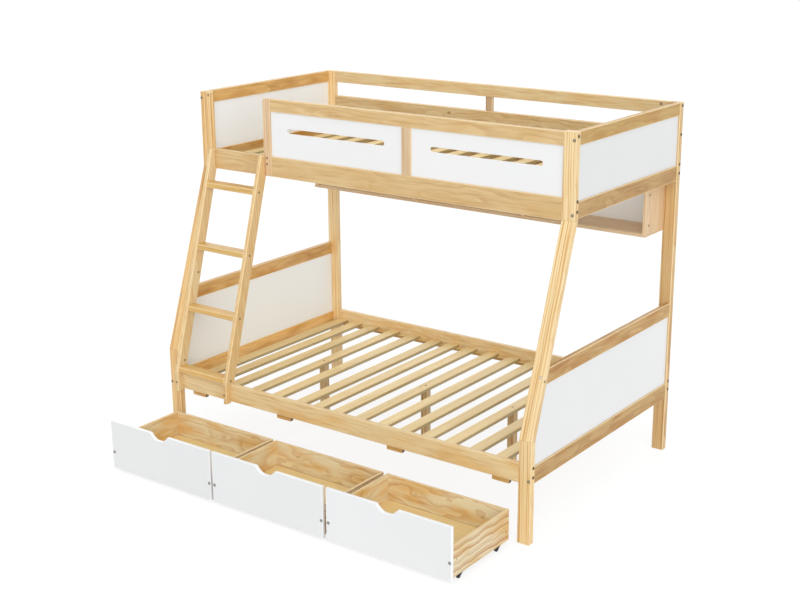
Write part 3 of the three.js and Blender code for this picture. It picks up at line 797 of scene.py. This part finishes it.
def ring_of(mesh, radius, height):
    made = []
    for step in range(HEAD_SIDES):
        angle = 2 * math.pi * step / HEAD_SIDES
        made.append(mesh.verts.new((radius * math.cos(angle), radius * math.sin(angle), height)))
    return made


def socket_ring(mesh, radius, height):
    """A ring of points on a hexagon."""
    half_side = math.pi / 6
    made = []
    for step in range(HEAD_SIDES):
        angle = 2 * math.pi * step / HEAD_SIDES
        reach = radius * math.cos(half_side) / math.cos(angle % (2 * half_side) - half_side)
        made.append(mesh.verts.new((reach * math.cos(angle), reach * math.sin(angle), height)))
    return made


def bridge(mesh, first, second):
    count = len(first)
    for step in range(count):
        follow = (step + 1) % count
        mesh.faces.new((first[step], first[follow], second[follow], second[step]))


def head_mesh(mesh, place, direction, radius, proud):
    """A flat-topped head with a hexagon socket, its axis along a direction."""
    start = len(mesh.verts)
    socket = radius * SOCKET_SHARE
    rim = proud * RIM_SHARE
    shoulder = proud - rim * RIM_SLOPE
    rings = [
        ring_of(mesh, radius, -HEAD_DEPTH * MM),
        ring_of(mesh, radius, proud - rim),
        ring_of(mesh, radius - rim * RIM_SLOPE, shoulder),
        ring_of(mesh, radius - rim, proud),
        ring_of(mesh, socket * SOCKET_CHAMFER, proud),
        socket_ring(mesh, socket, shoulder),
        socket_ring(mesh, socket, -SOCKET_DEPTH * MM),
    ]
    for lower, upper in zip(rings, rings[1:]):
        bridge(mesh, lower, upper)
    mesh.faces.new(rings[-1])
    mesh.faces.new(list(reversed(rings[0])))
    mesh.verts.ensure_lookup_table()
    turn = Vector((0, 0, 1)).rotation_difference(Vector(direction)).to_matrix()
    for vertex in mesh.verts[start:]:
        vertex.co = turn @ vertex.co + place


def add_fasteners(name, body, heads, kind, material):
    """One piece of fasteners, each at a place and along a direction, that rides a body."""
    radius, proud = (size * MM for size in kind)
    mesh = bmesh.new()
    for place, direction in heads:
        head_mesh(mesh, place, direction, radius, proud)
    piece = new_piece(name, mesh, material)
    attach(piece, body)


RIGHT_SIDE = (1.0, 0.0, 0.0)
LEFT_SIDE = (-1.0, 0.0, 0.0)
FRONT = (0.0, -1.0, 0.0)
UP = (0.0, 0.0, 1.0)

# Places of fasteners, in millimetres

# Bolt heads on the posts' outer sides: distance from the bed's front, and height
POST_SIDE_BOLTS = (
    (1243, 1641), (1242, 1511), (1242, 1377), (1242, 1336), (1242, 345), (1242, 305),
    (307, 1637), (312, 1375), (312, 1333), (20, 336), (20, 295),
)
# Bolt heads that look forward: place along the bed, distance from its front, and height
FRONT_BOLTS = (
    (-9, 291, 1322), (-10, 291, 1622), (-9, 0, 282), (8, 291, 1625), (8, 0, 286),
    (-99, 1230, 1642),
)
# Bolt heads on the posts' leaning length: places along the bed, and their height
LEAN_BOLTS = (-14, 8)
LEAN_BOLT_HEIGHT = 700
# Caps on the outer sides of the front posts and of the shelf: distance from the front, and height
POST_CAPS = ((91, 684),)
SHELF_INSET = 59
SHELF_CAPS = ((1080, 1257), (1081, 1118))
# Caps on the ladder's stiles: distance from the front, and height
STILE_CAPS = ((246, 1223), (166, 937), (84, 651), (4, 366))
INNER_STILE_CAPS = ((141, 814), (21, 403))
# Caps on the stiles' fronts: inset from the right of the right and left stile, and their height
STILE_FRONT_CAPS = (14, 11)
STILE_FRONT_CAP_HEIGHT = 302
# Caps that look forward on the left post's head and on the guard: place, distance and height
POST_HEAD_CAP = (52, 291, 1641)
GUARD_CAPS = ((407, 293, 1378), (407, 293, 1350))
# Caps over the lower deck's legs: places along the bed, and their distance from its front
LEG_CAPS = (444, 1069, 1555)
LEG_CAP_DISTANCE = 627
# Bolt heads on a drawer's front: insets from its left and right end, and height
DRAWER_BOLT_INSETS = (12.0, 7.5)
DRAWER_BOLT_HEIGHT = 92.5
# Marks of screws on a drawer's sides: distance behind its front, and height
DRAWER_MARKS = ((39, 97), (397, 134), (399, 65))


def along(x):
    """A place along the bed. A negative one is counted from the right end."""
    return x if x > 0 else LENGTH + x


def both_sides(places, inset=0):
    """Heads on the outer sides of both ends, at an inset from them."""
    heads = []
    for y, z in places:
        heads.append((bed(LENGTH - inset, y, z), RIGHT_SIDE))
        heads.append((bed(inset, y, z), LEFT_SIDE))
    return heads


def add_post_bolts():
    bright = bolt_steel("bolt_steel", srgb(140, 138, 132), srgb(84, 80, 74))
    silver = bolt_steel("bolt_silver", srgb(214, 213, 208), srgb(160, 158, 152))
    black = bolt_steel("bolt_black", srgb(66, 60, 52), srgb(38, 34, 30))
    add_fasteners("side_bolts", "bed_frame", both_sides(POST_SIDE_BOLTS), BOLT, black)
    front_heads = [(bed(along(x), y, z), FRONT) for x, y, z in FRONT_BOLTS]
    add_fasteners("front_bolts", "bed_frame", front_heads, BOLT, bright)
    bend, lean, height = bend_facts()
    turn = math.atan2(lean, height)
    leaning = (0.0, -math.cos(turn), math.sin(turn))
    y = (LEAN_BOLT_HEIGHT - bend / MM) * lean / height
    lean_heads = [(bed(along(x), y, LEAN_BOLT_HEIGHT), leaning) for x in LEAN_BOLTS]
    add_fasteners("lean_bolts", "bed_frame", lean_heads, BOLT, silver)
    return bright


def add_caps(dark):
    right_low, right_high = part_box("ladder_right_stile")
    stile_right = (right_high.x - CORNER.x) / MM
    stile_left = (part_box("ladder_left_stile")[1].x - CORNER.x) / MM
    stile_front = (right_low.y - CORNER.y) / MM
    slat_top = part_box("lower_slat_deck")[1].z / MM
    caps = both_sides(POST_CAPS)
    caps += [(bed(stile_right, y, z), RIGHT_SIDE) for y, z in STILE_CAPS]
    caps += [(bed(stile_left, y, z), RIGHT_SIDE) for y, z in INNER_STILE_CAPS]
    for stile, inset in zip((stile_right, stile_left), STILE_FRONT_CAPS):
        caps.append((bed(stile - inset, stile_front, STILE_FRONT_CAP_HEIGHT), FRONT))
    caps.append((bed(*POST_HEAD_CAP), FRONT))
    caps += both_sides(SHELF_CAPS, SHELF_INSET)
    caps += [(bed(*place), FRONT) for place in GUARD_CAPS]
    caps += [(bed(x, LEG_CAP_DISTANCE, slat_top), UP) for x in LEG_CAPS]
    add_fasteners("frame_caps", "bed_frame", caps, CAP, dark)


def add_drawer_fasteners(number, bright, dark):
    drawer = f"drawer_{number}"
    low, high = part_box(f"{drawer}_front")
    left_inset, right_inset = DRAWER_BOLT_INSETS
    heads = []
    for x in (low.x + left_inset * MM, high.x - right_inset * MM):
        heads.append((Vector((x, low.y, DRAWER_BOLT_HEIGHT * MM)), FRONT))
    add_fasteners(f"{drawer}_bolts", drawer, heads, BOLT, bright)
    box_low, box_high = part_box(f"{drawer}_box")
    marks = []
    for back, z in DRAWER_MARKS:
        marks.append((Vector((box_high.x, low.y + back * MM, z * MM)), RIGHT_SIDE))
        marks.append((Vector((box_low.x, low.y + back * MM, z * MM)), LEFT_SIDE))
    add_fasteners(f"{drawer}_screws", drawer, marks, MARK, dark)


def add_all_fasteners():
    bright = add_post_bolts()
    dark = screw_dark()
    add_caps(dark)
    for number in FRONT_LEVELS:
        add_drawer_fasteners(number, bright, dark)


# Studio: a pale floor that keeps the bed's shadow, under plain soft light
FLOOR_SIZE = 40.0
FLOOR_DROP = 0.2
FLOOR_LIT = 0.88
FLOOR_SHOWN = 0.22
FLOOR_GLOW = 0.82


def make_floor():
    material, graph = new_material("floor")
    lit = graph.node("ShaderNodeBsdfDiffuse", {"Color": grey(FLOOR_LIT)})
    faint = graph.node("ShaderNodeBsdfDiffuse", {"Color": grey(FLOOR_SHOWN)})
    glow = graph.node("ShaderNodeEmission", {"Color": grey(1.0), "Strength": FLOOR_GLOW})
    pale = graph.node("ShaderNodeAddShader", {0: faint.outputs[0], 1: glow.outputs[0]})
    shaders = {0: shown(graph), 1: lit.outputs[0], 2: pale.outputs[0]}
    mixed = graph.node("ShaderNodeMixShader", shaders)
    graph.node("ShaderNodeOutputMaterial", {"Surface": mixed.outputs[0]})
    mesh = bmesh.new()
    bmesh.ops.create_grid(mesh, x_segments=1, y_segments=1, size=FLOOR_SIZE)
    floor = new_piece("floor", mesh, material)
    floor.location = (0.0, 0.0, -FLOOR_DROP * MM)


def shown(graph):
    """One for rays that look at the background straight, in a gloss or through something clear."""
    path = graph.node("ShaderNodeLightPath").outputs
    looked = graph.math("MAXIMUM", path["Is Camera Ray"], path["Is Glossy Ray"])
    return graph.math("MAXIMUM", looked, path["Is Transmission Ray"])


def make_world():
    world = bpy.data.worlds.new("studio")
    bpy.context.scene.world = world
    world.use_nodes = True
    graph = Graph(world.node_tree)
    looked = shown(graph)
    strength = graph.range(looked, 0.0, 1.0, SKY_STRENGTH, 1.0)
    colour = graph.mix(looked, SKY, grey(1.0))
    back = graph.node("ShaderNodeBackground", {"Color": colour, "Strength": strength})
    graph.node("ShaderNodeOutputWorld", {"Surface": back.outputs[0]})


make_camera()
make_world()
make_lights()
make_floor()
# The paler pine of the softened edges, a painted highlight
painted_edge_highlight = pine_painted_edge_highlight()
dress_boards(painted_edge_highlight)
dress_front_posts(painted_edge_highlight)
dress_lower_front_rail(painted_edge_highlight)
dress_decks()
dress_shelf(painted_edge_highlight)
dress_panels()
dress_drawers(painted_edge_highlight)
add_all_fasteners()

bpy.context.scene.view_settings.view_transform = "Standard"
